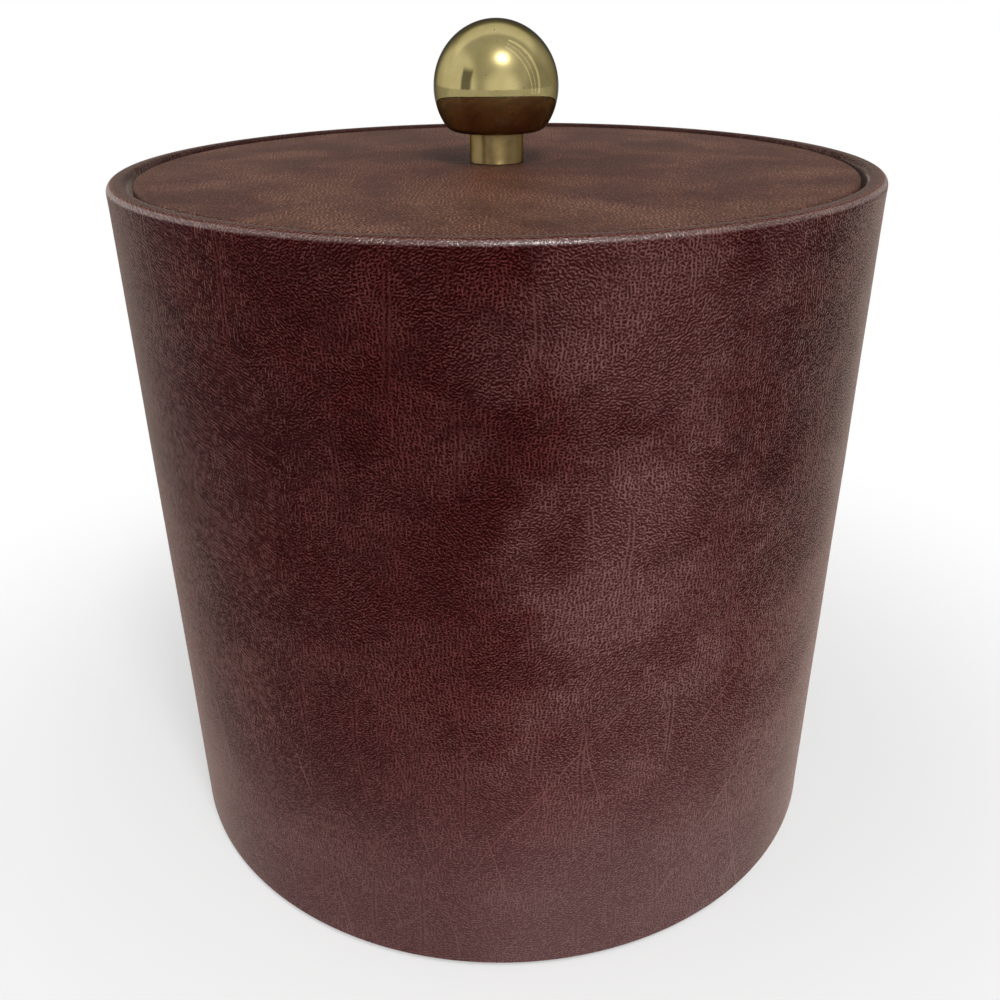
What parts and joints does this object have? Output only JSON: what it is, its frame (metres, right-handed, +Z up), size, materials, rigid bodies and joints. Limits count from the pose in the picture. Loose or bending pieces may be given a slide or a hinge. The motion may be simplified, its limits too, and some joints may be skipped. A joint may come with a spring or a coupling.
{
  "type": "ice bucket",
  "caption": "Straight round ice bucket covered in dark red leathercloth, with a moulded liner and a flush padded lid that lifts off by a brass ball knob.",
  "frame": {"origin": "centre of the base, on the surface that the bucket stands on", "axes": "+Z up along the drum's axis; +Y toward the back, where the cover's seam is; +X to the right"},
  "size_m": [0.203, 0.203, 0.2292],
  "materials": {
    "leathercloth": "satin",
    "fibreboard": "matte",
    "felt": "matte",
    "foam": "matte",
    "moulded_plastic": "gloss",
    "polished_brass": "polished",
    "satin_brass": "satin",
    "steel": "satin"
  },
  "bodies": {
    "bucket": {"side_cover": "leathercloth", "drum_tube": "fibreboard", "base_board": "fibreboard", "base_card": "fibreboard", "base_pad": "felt", "foam_base": "foam", "foam_sleeve": "foam", "liner": "moulded_plastic"},
    "lid": {"lid_cover": "leathercloth", "lid_pad": "foam", "lid_board": "fibreboard", "lid_pan": "moulded_plastic", "lid_foam": "foam", "knob_stem": "satin_brass", "knob_shell": "polished_brass", "knob_core": "steel", "knob_screw": "steel", "screw_washer": "steel"}
  },
  "joints": [
    {"name": "lid_lift", "type": "slide", "parent": "bucket", "child": "lid", "axis": [0, 0, 1], "range_m": [0, 0.15]}
  ]
}
